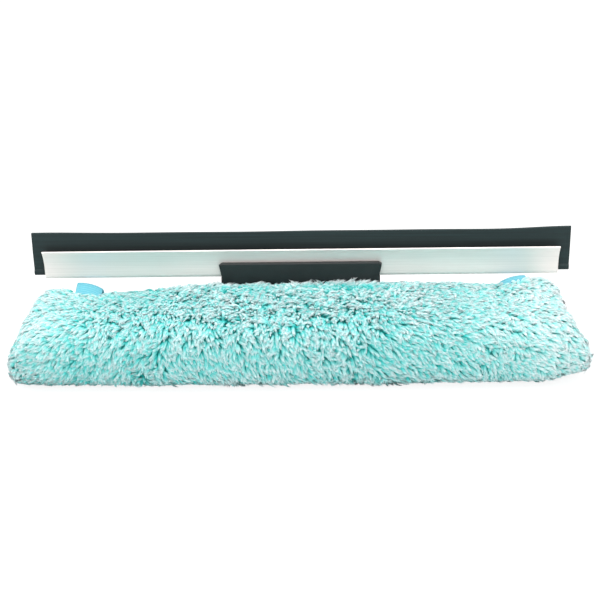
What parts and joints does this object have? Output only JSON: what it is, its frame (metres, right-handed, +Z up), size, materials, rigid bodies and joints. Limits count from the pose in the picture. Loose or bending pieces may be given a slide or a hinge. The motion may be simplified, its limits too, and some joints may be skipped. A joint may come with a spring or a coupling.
{
  "type": "window scrubber",
  "caption": "Window scrubber with a fluffy microfibre sleeve on a T-bar, a rubber squeegee behind it, and a tilting socket handle that a knob locks.",
  "frame": {"origin": "middle of the sleeve's flat scrub face, on the surface that the tool lies on", "axes": "+X along the sleeve and blade, +Y back along the handle, +Z up from the scrub face to the blade's edge"},
  "size_m": [0.3576, 0.2106, 0.0803],
  "materials": {
    "pile_aqua": "twisted microfibre pile",
    "binding_blue": "woven binding tape",
    "touch_fastener": "hook and loop tape",
    "black_plastic": "fine moulded grain",
    "zinc_steel": "zinc plated",
    "satin_aluminium": "satin anodised",
    "blade_rubber": "smooth moulded",
    "grip_rubber": "matte soft-touch",
    "nylon_white": "natural nylon",
    "brass_insert": "turned"
  },
  "bodies": {
    "head": {"t_bar": "black_plastic", "scrubber_sleeve": "pile_aqua", "upper_slit_binding": "binding_blue", "lower_slit_binding": "binding_blue", "closure_loop_strips": "touch_fastener", "closure_hook_strips": "touch_fastener", "rubber_blade": "blade_rubber", "squeegee_channel": "satin_aluminium", "squeegee_bracket": "black_plastic", "clip_plate": "black_plastic", "clip_screws": "zinc_steel", "bracket_screws": "zinc_steel"},
    "handle": {"handle_body": "black_plastic", "soft_grip": "grip_rubber", "end_collar": "black_plastic", "pivot_bolt": "zinc_steel", "friction_washers": "nylon_white", "knob_washer": "zinc_steel"},
    "knob": {"clamp_knob": "black_plastic", "knob_insert": "brass_insert"}
  },
  "joints": [
    {"name": "handle_tilt", "type": "hinge", "parent": "head", "child": "handle", "pos_m": [0, 0.073, 0.016], "axis": [1, 0, 0], "range_deg": [-90, 90]},
    {"name": "knob_turn", "type": "hinge", "parent": "handle", "child": "knob", "pos_m": [0.02, 0.073, 0.016], "axis": [1, 0, 0], "range_deg": [0, 270]}
  ]
}
